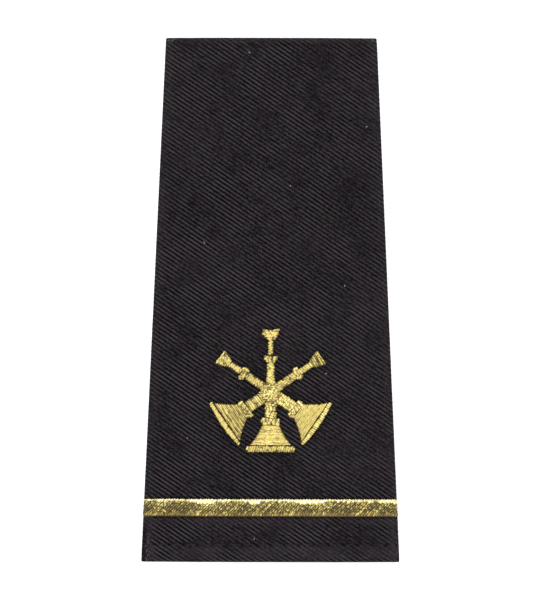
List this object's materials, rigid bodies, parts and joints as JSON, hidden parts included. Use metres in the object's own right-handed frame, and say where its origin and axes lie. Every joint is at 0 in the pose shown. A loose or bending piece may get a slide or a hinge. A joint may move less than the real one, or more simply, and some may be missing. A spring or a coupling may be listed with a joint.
{
  "type": "shoulder board",
  "caption": "Slip-on shoulder board: flat tapered sleeve of black twill, open at both ends, with a gold satin stripe and crossed bugles embroidered in gold.",
  "frame": {"origin": "under the middle of the sleeve, on the surface that its back lies on", "axes": "+Z out of the embroidered front, +Y from the wide base edge to the narrow collar edge, +X to the right as the front is read with the base edge down"},
  "size_m": [0.054, 0.11, 0.0083],
  "materials": {
    "black_twill": "near-black polyester twill with a slight sheen along its ribs",
    "back_cloth": "plain matt black uniform cloth",
    "gold_stripe": "gold metallic thread in satin stitch across a padded stripe",
    "gold_thread": "gold metallic thread in satin stitch"
  },
  "bodies": {
    "root": {"front_panel": "black_twill", "back_panel": "back_cloth", "base_hem": "black_twill", "collar_hem": "black_twill", "rank_stripe": "gold_stripe", "crossing_knot": "gold_thread", "centre_rim": "gold_thread", "centre_bell": "gold_thread", "centre_lower_collar": "gold_thread", "centre_lower_tube": "gold_thread", "centre_upper_tube": "gold_thread", "centre_upper_collar": "gold_thread", "centre_neck": "gold_thread", "centre_mouthpiece": "gold_thread", "left_rim": "gold_thread", "left_bell": "gold_thread", "left_lower_collar": "gold_thread", "left_lower_tube": "gold_thread", "left_upper_tube": "gold_thread", "left_upper_collar": "gold_thread", "left_neck": "gold_thread", "left_mouthpiece": "gold_thread", "right_rim": "gold_thread", "right_bell": "gold_thread", "right_lower_collar": "gold_thread", "right_lower_tube": "gold_thread", "right_upper_tube": "gold_thread", "right_upper_collar": "gold_thread", "right_neck": "gold_thread", "right_mouthpiece": "gold_thread"}
  },
  "joints": []
}
